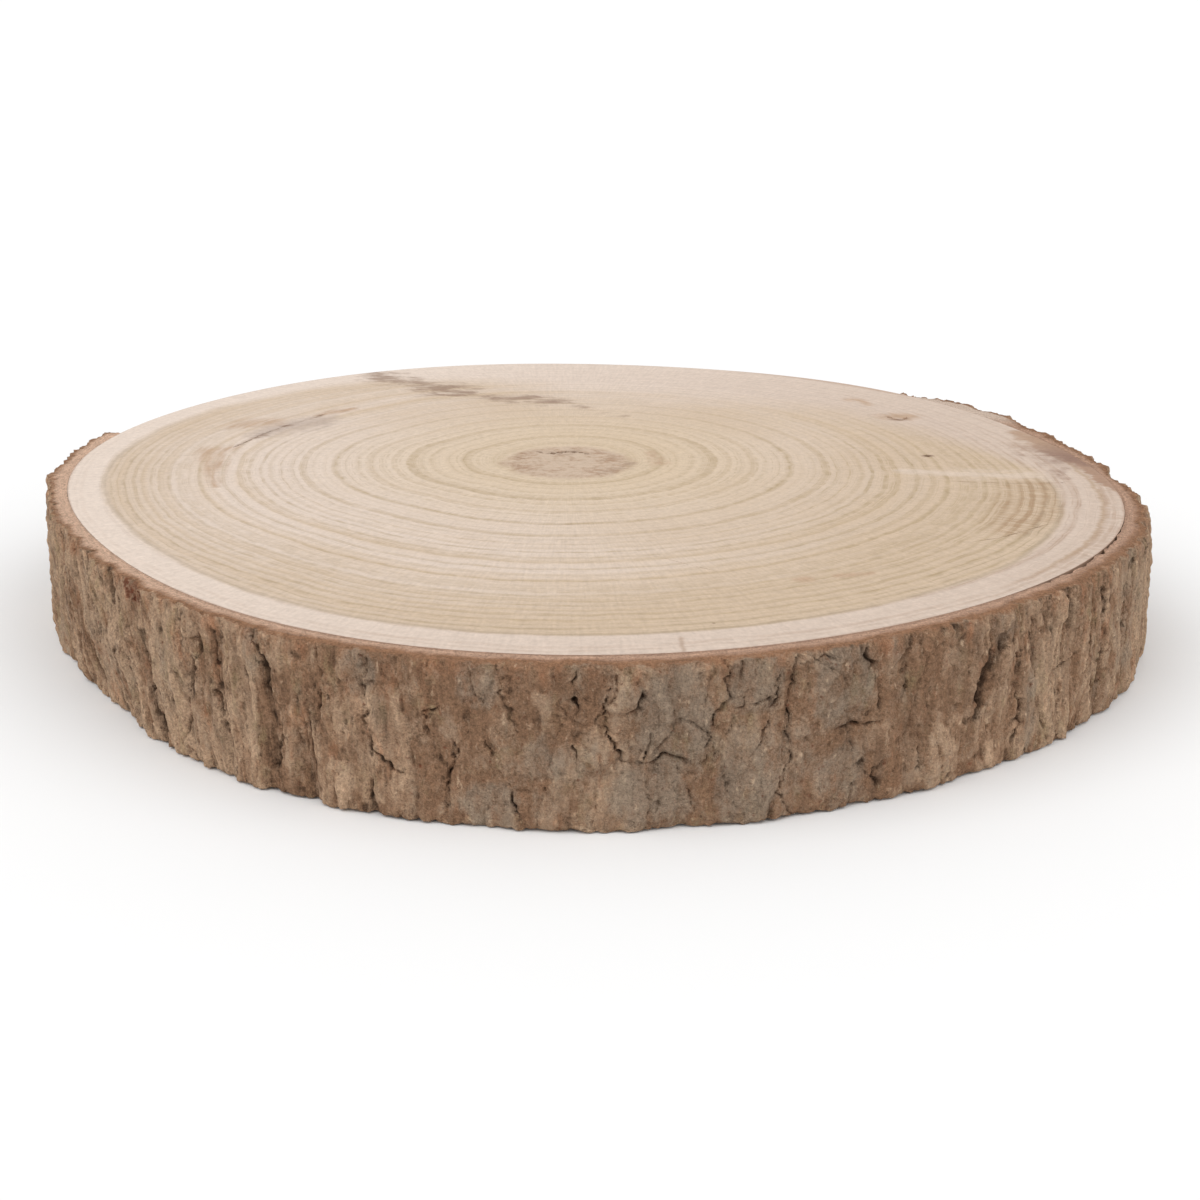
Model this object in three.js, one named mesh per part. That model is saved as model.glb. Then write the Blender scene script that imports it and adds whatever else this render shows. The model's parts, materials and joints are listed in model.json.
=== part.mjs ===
// A slice sawn across a tree trunk: a disc of pale wood in its ring of rough, furrowed bark.
// Millimetres, +Z up. The origin is the middle of the underside, which lies flat at z = 0.

import * as THREE from "three";

// Driving dimensions
const MEAN_RADIUS = 154; // from the middle to the outside of the bark, on average
const THICKNESS = 40; // between the two saw cuts
const BARK_THICKNESS = 5.8;
const BARK_SWELL = 0.7; // how much thicker the bark is on its thick side
const BARK_THICK_SIDE = -10; // the direction of that side, in degrees
const SHRINKAGE_GAP = 0.3; // the dry bark stands this far off the wood all round

// The trunk isn't round. Each lobe has a number of crests round the trunk, their height, and the
// direction of one crest in degrees, counted from +X towards +Y.
const TRUNK_LOBES = [
  { crests: 2, height: 4.2, at: -48 },
  { crests: 3, height: 1.6, at: 18 },
  { crests: 4, height: 1.2, at: -18 },
  { crests: 5, height: 0.8, at: -26 },
  { crests: 6, height: 0.6, at: -9 },
];

// Where the bark has come loose on the front right, the gap opens.
const LOOSE_BARK = { at: -38, reach: 9, gap: 0.8 };

// Along the back the saw chipped the bark's top edge away, between these two directions.
const CHIPPED_EDGE = { from: 50, to: 163, fade: 8, depth: 3.6, unevenness: 1.3 };

// The furrows on the front, by direction in degrees. The back has as many, at an even spacing.
const FRONT_FURROWS = [
  198, 203, 208, 213, 219, 224, 231, 236, 241.5, 246, 251.7, 258, 263.5, 269.5, 274, 280.5, 287.3,
  291, 295, 299, 303.6, 308, 311.5, 318.5, 325.5, 331.5, 336,
];
const BACK_FURROW_SPACING = 5.6;
const FURROW_DEPTH = { least: 1.1, most: 2.3 };
const FURROW_WIDTH = { least: 1.5, most: 2.5 }; // from its middle to where its wall eases off
const FURROW_LEAN = 1.6; // the most that a furrow leans over the slice's thickness, in degrees
const FURROW_SWAY = 0.55; // and the most that it sways to each side
const CREST_HEIGHT = 0.9; // of the plates between the furrows, over the mean outline

// Broad swells on the plates: waves round the trunk, wavelength up the trunk, height.
const PLATE_SWELLS = [
  { waves: 23, wavelength: 52, height: 0.42 },
  { waves: 41, wavelength: -34, height: 0.34 },
  { waves: 67, wavelength: 71, height: 0.28 },
];

// How finely the solids are faceted
const COLUMNS = 320;
const WALL_ROWS = 9;

const degrees = THREE.MathUtils.degToRad;

// A repeatable number from 0 to 1 for one property of one furrow.
function scatter(index, property) {
  const wave = Math.sin(index * 127.1 + property * 311.7) * 43758.5453;
  return wave - Math.floor(wave);
}

function between(range, share) {
  return range.least + (range.most - range.least) * share;
}

// The signed angle from one direction to another, the short way round.
function turnBetween(from, to) {
  return Math.atan2(Math.sin(to - from), Math.cos(to - from));
}

// The outline of the trunk, over the bark, without its relief.
function trunkRadius(angle) {
  return TRUNK_LOBES.reduce(
    (radius, lobe) => radius + lobe.height * Math.cos(lobe.crests * (angle - degrees(lobe.at))),
    MEAN_RADIUS,
  );
}

function woodRadius(angle) {
  const swell = BARK_SWELL * Math.cos(angle - degrees(BARK_THICK_SIDE));
  return trunkRadius(angle) - BARK_THICKNESS - swell;
}

function barkGap(angle) {
  const away = turnBetween(degrees(LOOSE_BARK.at), angle) / degrees(LOOSE_BARK.reach);
  return SHRINKAGE_GAP + LOOSE_BARK.gap * Math.exp(-away * away);
}

// How far below the saw cut the bark's top edge lies.
function chipDepth(angle) {
  const middle = degrees((CHIPPED_EDGE.from + CHIPPED_EDGE.to) / 2);
  const half = degrees((CHIPPED_EDGE.to - CHIPPED_EDGE.from) / 2);
  const inside = half - Math.abs(turnBetween(middle, angle));
  const share = THREE.MathUtils.smoothstep(inside, 0, degrees(CHIPPED_EDGE.fade));
  const ragged = Math.sin(13 * angle) + 0.6 * Math.sin(29 * angle + 1) + 0.4 * Math.sin(53 * angle);
  return share * (CHIPPED_EDGE.depth + CHIPPED_EDGE.unevenness * 0.5 * ragged);
}

// Every furrow with its own depth, width, lean and sway.
function makeFurrows() {
  const last = FRONT_FURROWS.at(-1);
  const backArc = 360 + FRONT_FURROWS[0] - last;
  const backCount = Math.round(backArc / BACK_FURROW_SPACING) - 1;
  const directions = [...FRONT_FURROWS];
  for (let i = 1; i <= backCount; i++) {
    const uneven = 0.5 * (scatter(i, 7) - 0.5);
    directions.push(last + ((i + uneven) * backArc) / (backCount + 1));
  }
  return directions.map((direction, i) => ({
    angle: degrees(direction),
    depth: between(FURROW_DEPTH, scatter(i, 1)),
    width: between(FURROW_WIDTH, scatter(i, 2)),
    lean: degrees(FURROW_LEAN) * (2 * scatter(i, 3) - 1),
    sway: degrees(FURROW_SWAY) * (0.4 + 0.6 * scatter(i, 4)),
    wavelength: THICKNESS * (0.6 + 0.7 * scatter(i, 5)),
    phase: scatter(i, 6),
  }));
}

const furrows = makeFurrows();

// The bark's surface over the mean outline: swelling plates, cut by furrows.
function barkRelief(angle, z) {
  let cut = 0;
  for (const furrow of furrows) {
    const wave = Math.sin(2 * Math.PI * (z / furrow.wavelength + furrow.phase));
    const line = furrow.angle + furrow.lean * (z / THICKNESS - 0.5) + furrow.sway * wave;
    const away = (turnBetween(line, angle) * MEAN_RADIUS) / furrow.width;
    cut = Math.max(cut, furrow.depth * Math.exp(-away * away));
  }
  const swell = PLATE_SWELLS.reduce(
    (sum, wave) => sum + wave.height * Math.sin(wave.waves * angle + (2 * Math.PI * z) / wave.wavelength),
    0,
  );
  return CREST_HEIGHT + swell - cut;
}

// Moves every corner of a plain turned ring or disc to the radius and height that place gives for
// its direction and for where it lies in the turned profile.
function reshape(geometry, place) {
  const corners = geometry.getAttribute("position");
  for (let i = 0; i < corners.count; i++) {
    const [x, y, level] = [corners.getX(i), corners.getY(i), corners.getZ(i)];
    const angle = Math.atan2(y, x);
    const { radius, z } = place(angle, Math.hypot(x, y), level);
    corners.setXYZ(i, radius * Math.cos(angle), radius * Math.sin(angle), z);
  }
  geometry.computeVertexNormals();
  return geometry;
}

// A profile of [radius, level] pairs turned about +Z.
function turned(profile) {
  const points = profile.map(([radius, level]) => new THREE.Vector2(radius, level));
  return new THREE.LatheGeometry(points, COLUMNS).rotateX(Math.PI / 2);
}

// The wood is one disc, flat on both sawn faces. Its profile runs from level 0 to level 1.
function makeWood() {
  const disc = turned([
    [0, 0],
    [1, 0],
    [1, 1],
    [0, 1],
  ]);
  return reshape(disc, (angle, share, level) => ({
    radius: share * woodRadius(angle),
    z: level * THICKNESS,
  }));
}

// The bark is one ring. In its profile, radius 1 is the side against the wood and radius 2 the
// outside, in rows from level 0 at the underside to level 1 at the top edge.
function makeBark() {
  const outside = Array.from({ length: WALL_ROWS + 1 }, (_, row) => [2, row / WALL_ROWS]);
  const ring = turned([[1, 0], ...outside, [1, 1], [1, 0]]);
  return reshape(ring, (angle, side, level) => {
    const z = level * (THICKNESS - chipDepth(angle));
    const isOutside = side > 1.5;
    const radius = isOutside
      ? trunkRadius(angle) + barkRelief(angle, z)
      : woodRadius(angle) + barkGap(angle);
    return { radius, z };
  });
}

function part(name, geometry, colour, roughness) {
  const material = new THREE.MeshStandardMaterial({ color: colour, roughness, metalness: 0 });
  const mesh = new THREE.Mesh(geometry, material);
  mesh.name = name;
  return mesh;
}

const slice = new THREE.Group();
slice.name = "wood_slice";
slice.add(part("wood", makeWood(), 0xd9c8b0, 0.75));
slice.add(part("bark", makeBark(), 0x8a705c, 0.95));

export default slice;
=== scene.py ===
import json
import math

import bpy
import numpy as np
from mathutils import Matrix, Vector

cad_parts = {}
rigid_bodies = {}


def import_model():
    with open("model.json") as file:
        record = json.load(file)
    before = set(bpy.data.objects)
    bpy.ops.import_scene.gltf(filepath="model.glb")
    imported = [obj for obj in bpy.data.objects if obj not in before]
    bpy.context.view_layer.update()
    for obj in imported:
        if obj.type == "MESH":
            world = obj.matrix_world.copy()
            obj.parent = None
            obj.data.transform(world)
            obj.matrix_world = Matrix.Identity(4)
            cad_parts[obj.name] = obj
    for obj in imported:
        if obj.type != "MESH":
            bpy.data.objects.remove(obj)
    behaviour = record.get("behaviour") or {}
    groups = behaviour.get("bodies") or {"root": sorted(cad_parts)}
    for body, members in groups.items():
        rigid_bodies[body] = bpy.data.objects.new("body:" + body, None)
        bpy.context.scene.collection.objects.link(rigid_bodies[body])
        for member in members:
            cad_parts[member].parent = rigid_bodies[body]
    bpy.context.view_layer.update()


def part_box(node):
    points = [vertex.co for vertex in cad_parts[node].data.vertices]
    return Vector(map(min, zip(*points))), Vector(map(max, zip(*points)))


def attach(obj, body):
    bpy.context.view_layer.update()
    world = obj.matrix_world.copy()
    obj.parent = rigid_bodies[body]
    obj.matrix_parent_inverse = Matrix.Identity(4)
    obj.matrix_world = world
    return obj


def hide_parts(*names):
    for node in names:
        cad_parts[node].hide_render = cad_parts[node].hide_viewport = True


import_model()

# The camera stands in front of the slice and looks down on it at a flat angle.
# Its lens is a short telephoto, so the far rim looks only a little smaller than the near one.
MM = 0.001
CAMERA_PLACE = (3.8 * MM, -593.9 * MM, 203.4 * MM)
CAMERA_DIP = 18.75  # degrees below level
LENS_MM = 64.0

bpy.ops.object.select_all(action="DESELECT")
bpy.ops.object.camera_add(location=CAMERA_PLACE, rotation=(math.radians(90 - CAMERA_DIP), 0, 0))
camera = bpy.context.object
camera.name = "catalogue_camera"
camera.data.lens = LENS_MM
bpy.context.scene.camera = camera

# The wood is one disc of dry timber, sawn across the trunk on both faces and left bare.
# Its growth rings, pale sapwood, stains and knots are the wood's own colour. The pith has cracked and a few
# drying checks have opened, so those are cut into the upper face.

# Sizes are in millimetres, and directions in degrees from the right towards the back. Each lobe of the trunk
# has its number of crests round the trunk, its height and the direction of a crest.
THICKNESS = round(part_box("wood")[1][2] / MM, 2)
MEAN_RADIUS = 154.0
TRUNK_LOBES = [(2, 4.2, -48), (3, 1.6, 18), (4, 1.2, -18), (5, 0.8, -26), (6, 0.6, -9)]
BARK_THICKNESS = 5.8
BARK_SWELL = 0.7
BARK_THICK_SIDE = -10
PITH = (-5.7, 17.7)
RIM_STEPS = 560
FACE_RINGS = 96
FACING_UP = 0.9  # a face whose normal rises more than this belongs to the upper face
WOOD_CREASE = 30  # degrees past which an edge stays sharp


def trunk_radius(angle):
    """Distance in millimetres from the middle to the outside of the bark, without its relief."""
    lobes = (height * np.cos(crests * (angle - math.radians(at))) for crests, height, at in TRUNK_LOBES)
    return MEAN_RADIUS + sum(lobes)


def wood_radius(angle):
    swell = BARK_SWELL * np.cos(angle - math.radians(BARK_THICK_SIDE))
    return trunk_radius(angle) - BARK_THICKNESS - swell


def places_of(piece):
    """The piece's vertices in millimetres, one row each."""
    flat = np.empty(len(piece.data.vertices) * 3)
    piece.data.vertices.foreach_get("co", flat)
    return flat.reshape(-1, 3) / MM


def set_places(piece, places):
    piece.data.vertices.foreach_set("co", np.ascontiguousarray(places * MM).ravel())
    piece.data.update()


def store(piece, name, values):
    """Keeps one number per vertex on the mesh, for the piece's material to read."""
    layer = piece.data.attributes.new(name, "FLOAT", "POINT")
    layer.data.foreach_set("value", np.asarray(values, np.float32))


bpy.ops.object.select_all(action="DESELECT")
bpy.ops.mesh.primitive_cylinder_add(vertices=RIM_STEPS, radius=MEAN_RADIUS * MM, depth=THICKNESS * MM,
                                    location=(0, 0, THICKNESS / 2 * MM))
wood = bpy.context.object
wood.name = "wood_disc"
bpy.ops.object.transform_apply(location=True)
places = places_of(wood)
angles = np.arctan2(places[:, 1], places[:, 0])
places[:, 0] = wood_radius(angles) * np.cos(angles)
places[:, 1] = wood_radius(angles) * np.sin(angles)
set_places(wood, places)

# The upper face is set in again and again towards the pith, so that it can carry the stains.
bpy.ops.object.mode_set(mode="EDIT")
bpy.ops.mesh.select_mode(type="FACE")
bpy.ops.mesh.select_all(action="DESELECT")
bpy.ops.object.mode_set(mode="OBJECT")
for polygon in wood.data.polygons:
    polygon.select = polygon.normal.z > FACING_UP
bpy.ops.object.mode_set(mode="EDIT")
pith_point = (PITH[0] * MM, PITH[1] * MM, THICKNESS * MM)
for ring in range(FACE_RINGS - 1, 0, -1):
    shrink = ring / (ring + 1)
    bpy.ops.mesh.inset(thickness=0)
    bpy.ops.transform.resize(value=(shrink, shrink, 1), center_override=pith_point)
bpy.ops.object.mode_set(mode="OBJECT")

# Each check is a row of wedges: width and depth in millimetres, then its corners in plan. A wedge runs past
# its corners, and stands a little above the face that it cuts.
WEDGE_LENGTH = 1.3
WEDGE_RISE = 0.1
CHECKS = [
    (1.3, 1.8, [(-15.4, 26.2), (-12.8, 24.0), (-10.6, 23.8)]),
    (3.4, 3.2, [(-11.4, 23.6), (-9.2, 24.2), (-7.4, 25.4)]),
    (2.4, 3.0, [(-7.8, 25.6), (-5.2, 25.4), (-2.6, 25.2)]),
    (1.8, 2.2, [(-3.0, 25.4), (-1.0, 24.2), (0.6, 22.6)]),
    (1.0, 1.0, [(-21.0, 19.0), (-18.0, 17.0)]),
    (0.9, 1.0, [(3.4, 15.6), (6.4, 16.2)]),
    (1.0, 0.8, [(2.6, 2.2), (4.8, 1.2)]),
    (3.0, 6.0, [(100.2, 20.9), (102.4, 20.9)]),
    (0.8, 1.8, [(-107.1, 30.3), (-105.3, 34.6), (-103.4, 39.1)]),
    (1.0, 2.5, [(-104.0, 37.6), (-102.6, 41.6)]),
    (0.5, 1.2, [(-102.4, 42.0), (-101.2, 45.4), (-99.6, 48.8)]),
    (0.8, 2.0, [(-100.2, 47.4), (-97.8, 52.0)]),
    (0.5, 1.0, [(-97.4, 52.8), (-96.0, 55.2), (-94.2, 58.8)]),
    (0.5, 1.0, [(-91.4, 62.2), (-89.3, 65.2)]),
    (0.6, 1.0, [(-86.4, 69.8), (-84.2, 73.2)]),
    (0.9, 1.2, [(104, -7.2), (112, -8.4), (119, -9.3), (128, -9.3), (135, -8.8)]),
    (1.2, 2.0, [(134.4, -8.9), (136, -8.8)]),
    (0.7, 1.0, [(101, -65.2), (108, -62.1), (115.7, -55.9), (123.8, -49.1)]),
    (0.5, 0.30, [(102, -91), (107, -96), (110, -99.5)]),
    (0.5, 0.6, [(-21, -25.4), (-16, -26.6), (-11, -26.8)]),
    (0.5, 0.6, [(-9, -49.6), (-1, -50.4)]),
    (0.5, 0.5, [(20.0, -79.5), (26.3, -85.3), (32.6, -90.1)]),
    (0.9, 1.2, [(29.6, -129.1), (30.6, -129.1)]),
    (2.0, 1.4, [(95.6, 69.8), (96.6, 67.2), (98.3, 64.8)]),
    (2.0, 1.4, [(98.1, 64.8), (100.4, 66.0), (101.6, 68.8)]),
    (1.3, 0.9, [(89.4, 72.4), (94.1, 72.6)]),
]
bpy.ops.object.select_all(action="DESELECT")
wedges = bpy.data.collections.new("check_wedges")
bpy.context.scene.collection.children.link(wedges)
for width, depth, corners in CHECKS:
    for (x0, y0), (x1, y1) in zip(corners, corners[1:]):
        length = math.hypot(x1 - x0, y1 - y0) * WEDGE_LENGTH
        middle_z = THICKNESS - depth * (1 - WEDGE_RISE) / 2
        bpy.ops.mesh.primitive_cone_add(
            vertices=4, radius1=0, radius2=1, depth=1,
            location=((x0 + x1) / 2 * MM, (y0 + y1) / 2 * MM, middle_z * MM),
            rotation=(0, 0, math.atan2(y1 - y0, x1 - x0)),
            scale=(length / 2 * MM, width / 2 * MM, depth * (1 + WEDGE_RISE) * MM))
        wedge = bpy.context.object
        for collection in list(wedge.users_collection):
            collection.objects.unlink(wedge)
        wedges.objects.link(wedge)

cut = wood.modifiers.new("open_checks", "BOOLEAN")
cut.operation = "DIFFERENCE"
cut.operand_type = "COLLECTION"
cut.collection = wedges
cut.solver = "MANIFOLD"
bpy.context.view_layer.objects.active = wood
bpy.ops.object.modifier_apply(modifier=cut.name)
for wedge in list(wedges.objects):
    bpy.data.objects.remove(wedge)
bpy.data.collections.remove(wedges)

# Where two wedges meet, the cut leaves corners that coincide, so edges of no length are closed up.
SAME_CORNER = 0.001
bpy.ops.object.select_all(action="DESELECT")
wood.select_set(True)
bpy.ops.object.mode_set(mode="EDIT")
bpy.ops.mesh.select_all(action="SELECT")
bpy.ops.mesh.dissolve_degenerate(threshold=SAME_CORNER * MM)
bpy.ops.object.mode_set(mode="OBJECT")


def stroke(places, reach, corners):
    """How strongly a brush stroke covers each place: 1 along its middle, 0 past its reach. Each corner gives
    x, y and the share of the reach that the stroke has there."""
    cover = np.zeros(len(places))
    corners = np.array(corners, float)
    for start, end in zip(corners, corners[1:]):
        along = end[:2] - start[:2]
        way = np.clip((places[:, :2] - start[:2]) @ along / (along @ along), 0, 1)
        away = np.hypot(*(places[:, :2] - start[:2] - way[:, None] * along).T)
        cover = np.maximum(cover, 1 - away / (reach * (start[2] + (end[2] - start[2]) * way)))
    return cover


# Discoloured places on the upper face, by kind: strength, reach in millimetres, corners.
DISCOLOURED = {
    "stain": [
        (1.0, 13.0, [(-76, 135, 0.6), (-70, 126, 1.0), (-64, 120, 0.9), (-57, 114.5, 0.8),
                     (-51, 108.5, 1.15), (-45, 105, 1.0), (-38, 100.5, 0.6), (-32, 96, 0.5),
                     (-26.5, 93.5, 0.6), (-22.5, 95.5, 0.4), (-18, 94.5, 0.6), (-12.7, 90, 0.7)]),
        (0.6, 8.0, [(-12.7, 90, 1.0), (-7.3, 90.5, 0.8), (-3.2, 85.5, 0.6), (1, 78, 0.4)]),
        (0.45, 5.0, [(0, 77, 0.9), (6, 72.5, 1.0), (15, 68, 0.6)]),
        (1.1, 4.0, [(-60, 117, 0.6), (-53, 112.6, 1.0), (-47, 112, 1.0), (-42, 109, 0.6)]),
        (1.1, 3.6, [(-54, 106, 0.6), (-50.4, 100, 1.0), (-44, 98.4, 0.8), (-37, 99.4, 1.0)]),
        (0.8, 2.6, [(-107.1, 30.3, 0.6), (-103, 40, 1.0), (-94, 59, 0.9), (-85, 71.6, 0.7)]),
        (1.8, 1.7, [(100.6, 20.9, 1.0), (102.2, 20.9, 1.0)]),
        (0.7, 2.4, [(95.4, 69.4, 0.7), (98.3, 64.4, 1.0), (101.8, 67.4, 0.8)]),
        (0.8, 5.0, [(-15, 26, 0.5), (-9, 24.6, 1.0), (-3, 25.2, 1.0), (0.5, 23.5, 0.5)]),
        (0.55, 4.0, [(13, 13.7, 0.7), (12, 8, 0.8), (7.8, 4.1, 1.0), (3.7, 1.0, 0.8)]),
    ],
    "violet": [
        (1.0, 12.0, [(134, 47, 0.5), (138.5, 36, 1.0), (141, 28, 1.0), (144, 19, 0.9), (147, 12, 0.5)]),
        (0.5, 10.0, [(129, 34, 0.5), (135, 24, 1.0), (139, 8, 0.6)]),
        (0.5, 4.0, [(136.6, 3.4, 1.0), (137, -3.4, 0.8)]),
    ],
    "bruise": [
        (1.0, 15.0, [(-101, 46, 0.5), (-96, 54, 0.9), (-91, 59, 1.0), (-86, 62, 0.8), (-82, 68, 0.4)]),
    ],
    "blush": [
        (0.8, 11.0, [(-111, 57, 0.6), (-106, 61, 1.0), (-100, 62, 0.7)]),
        (0.55, 10.0, [(-107, 31, 0.5), (-112, 27, 1.0), (-110.5, 16, 0.9), (-108, 4, 0.6), (-105, -8, 0.3)]),
        (0.9, 3.4, [(-107.6, 30.8, 0.7), (-113.4, 27, 1.0), (-112.6, 17, 1.0), (-110, 5, 0.8),
                    (-105, -13, 0.6)]),
        (0.75, 3.0, [(-107.6, 30.8, 0.7), (-109.4, 25, 1.0), (-108, 17, 1.0), (-107, 7, 0.6)]),
        (1.0, 4.5, [(-86, 70.5, 0.6), (-82, 76, 1.0), (-76, 80, 0.7)]),
        (0.7, 5.0, [(19, 25, 0.8), (21, 12, 1.0)]),
        (1.3, 2.6, [(52.4, -97.3, 1.0), (55.0, -96.2, 1.0)]),
        (1.2, 2.6, [(62.5, -94.1, 0.8), (67.0, -92.9, 1.0), (71.4, -91.7, 0.7)]),
        (1.1, 7.0, [(96.6, 69.6, 1.0), (101.4, 69.6, 1.0)]),
        (1.0, 4.6, [(86.2, 93.0, 1.0), (89.2, 92.2, 0.8), (91.5, 85.0, 0.5)]),
    ],
    "dense": [
        (1.0, 23.0, [(128, -12, 0.7), (124, -33, 1.0), (112, -54, 0.5)]),
    ],
    "pale": [
        (1.0, 9.0, [(90, 4, 0.4), (112, 0.5, 1.0), (136, -2.5, 0.9)]),
    ],
}
places = places_of(wood)
for kind, strokes in DISCOLOURED.items():
    covers = [strength * stroke(places, reach, corners) for strength, reach, corners in strokes]
    store(wood, kind, np.maximum.reduce(covers) * (places[:, 2] > THICKNESS / 2))
bpy.ops.object.shade_smooth_by_angle(angle=math.radians(WOOD_CREASE))


class Wire:
    """One output of a shader node. Arithmetic on wires adds the nodes that work it out."""

    def __init__(self, socket):
        self.socket = socket
        self.tree = socket.id_data

    def math(self, operation, *others):
        node = self.tree.nodes.new("ShaderNodeMath")
        node.operation = operation
        for entry, value in zip(node.inputs, (self, *others)):
            feed(entry, value)
        return Wire(node.outputs[0])

    def __add__(self, other):
        return self.math("ADD", other)

    def __sub__(self, other):
        return self.math("SUBTRACT", other)

    def __mul__(self, other):
        return self.math("MULTIPLY", other)

    def __truediv__(self, other):
        return self.math("DIVIDE", other)

    def __pow__(self, other):
        return self.math("POWER", other)

    def rise(self, low, high, bottom=0.0, top=1.0):
        """Goes smoothly from bottom to top as this goes from low to high."""
        node = self.tree.nodes.new("ShaderNodeMapRange")
        node.interpolation_type = "SMOOTHSTEP"
        for entry, value in zip(node.inputs, (self, low, high, bottom, top)):
            feed(entry, value)
        return Wire(node.outputs[0])

    def hump(self, middle, reach):
        """1 at the middle, falling smoothly to 0 at the reach to either side."""
        return (self - middle).math("ABSOLUTE").rise(reach, 0.0)

    def follow(self, points):
        """Reads a line drawn through (input, output) points, all from 0 to 1."""
        node = self.tree.nodes.new("ShaderNodeFloatCurve")
        line = node.mapping.curves[0]
        line.points[0].location, line.points[1].location = points[0], points[-1]
        for place, height in points[1:-1]:
            line.points.new(place, height)
        for corner in line.points:
            corner.handle_type = "VECTOR"
        node.mapping.update()
        feed(node.inputs["Value"], self)
        return Wire(node.outputs[0])


def feed(entry, value):
    if isinstance(value, Wire):
        entry.id_data.links.new(value.socket, entry)
    else:
        entry.default_value = value


def new_material(name):
    material = bpy.data.materials.new(name)
    material.use_nodes = True
    return material, material.node_tree.nodes["Principled BSDF"]


def coordinates(tree, kind, scale=1.0):
    """The three parts of a texture coordinate, each divided by the scale."""
    source = tree.nodes.new("ShaderNodeTexCoord")
    split = tree.nodes.new("ShaderNodeSeparateXYZ")
    tree.links.new(source.outputs[kind], split.inputs[0])
    return [Wire(output) / scale for output in split.outputs]


def attribute(tree, name):
    node = tree.nodes.new("ShaderNodeAttribute")
    node.attribute_name = name
    return Wire(node.outputs["Fac"])


def vector(x, y, z):
    node = x.tree.nodes.new("ShaderNodeCombineXYZ")
    for entry, value in zip(node.inputs, (x, y, z)):
        feed(entry, value)
    return Wire(node.outputs[0])


def cloud(place, size, detail=2.0, roughness=0.5):
    """Soft random patches of about that size, from about -1 to 1."""
    node = place.tree.nodes.new("ShaderNodeTexNoise")
    feed(node.inputs["Vector"], place)
    node.inputs["Scale"].default_value = 1 / size
    node.inputs["Detail"].default_value = detail
    node.inputs["Roughness"].default_value = roughness
    return (Wire(node.outputs["Fac"]) - 0.5) * 3.0


def bands(along, size, detail=2.0):
    """Random bands of about that width along one direction, from about -1 to 1."""
    node = along.tree.nodes.new("ShaderNodeTexNoise")
    node.noise_dimensions = "1D"
    feed(node.inputs["W"], along)
    node.inputs["Scale"].default_value = 1 / size
    node.inputs["Detail"].default_value = detail
    return (Wire(node.outputs["Fac"]) - 0.5) * 3.0


def mixed(share, under, over, blend="MIX"):
    """The under colour where share is 0, the over colour where it is 1."""
    tree = under.tree if isinstance(under, Wire) else share.tree
    node = tree.nodes.new("ShaderNodeMix")
    node.data_type = "RGBA"
    node.blend_type = blend
    feed(node.inputs["Factor"], share)
    feed(node.inputs[6], under)
    feed(node.inputs[7], over)
    return Wire(node.outputs[2])


def lit(colour, level):
    """The colour made lighter or darker by a level round 1."""
    grey = level.tree.nodes.new("ShaderNodeCombineColor")
    for channel in grey.inputs:
        feed(channel, level)
    return mixed(1.0, colour, Wire(grey.outputs[0]), "MULTIPLY")


STUDIO_GAIN = 1.2


def paint(red, green, blue):
    """A base colour that reads as these values, 0 to 255, in the studio light."""
    shares = np.array([red, green, blue]) / 255
    linear = np.where(shares <= 0.04045, shares / 12.92, ((shares + 0.055) / 1.055) ** 2.4)
    return (*(linear / STUDIO_GAIN), 1.0)


def spread(tree, kind, fray, low, high, fade):
    """How far a kind of discoloured place has spread into the wood, with its edge frayed."""
    cover = attribute(tree, kind)
    return (cover + fray).rise(low, high) * cover.rise(0.0, fade)


def roughen(shader, height, distance, strength):
    """Bumps the surface by a height, in millimetres for a height of 1."""
    tree = shader.id_data
    node = tree.nodes.new("ShaderNodeBump")
    node.inputs["Strength"].default_value = strength
    node.inputs["Distance"].default_value = distance * MM
    feed(node.inputs["Height"], height)
    tree.links.new(node.outputs["Normal"], shader.inputs["Normal"])


sawn_wood, shader = new_material("sawn_wood")
tree = sawn_wood.node_tree
x, y, z = coordinates(tree, "Object", MM)
spot = vector(x, y, z)
east, north = x - PITH[0], y - PITH[1]
reach = (east * east + north * north).math("SQRT")
bearing = north.math("ARCTAN2", east)

# The distance from the pith to the rim, as a sum of waves round the pith.
RIM_SAMPLES, RIM_WAVES = 720, 6
even = np.linspace(-math.pi, math.pi, RIM_SAMPLES, endpoint=False)
rim = np.stack([wood_radius(even) * np.cos(even) - PITH[0], wood_radius(even) * np.sin(even) - PITH[1]])
rim_bearing = np.arctan2(rim[1], rim[0])
order = np.argsort(rim_bearing)
rim_reach = np.interp(even, rim_bearing[order], np.hypot(*rim)[order], period=2 * math.pi)
waves = np.fft.rfft(rim_reach) / len(even)
edge = bearing * 0.0 + float(waves[0].real)
for crests in range(1, RIM_WAVES + 1):
    phase = crests * math.pi + float(np.angle(waves[crests]))
    edge = edge + (bearing * crests + phase).math("COSINE") * float(2 * abs(waves[crests]))

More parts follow.
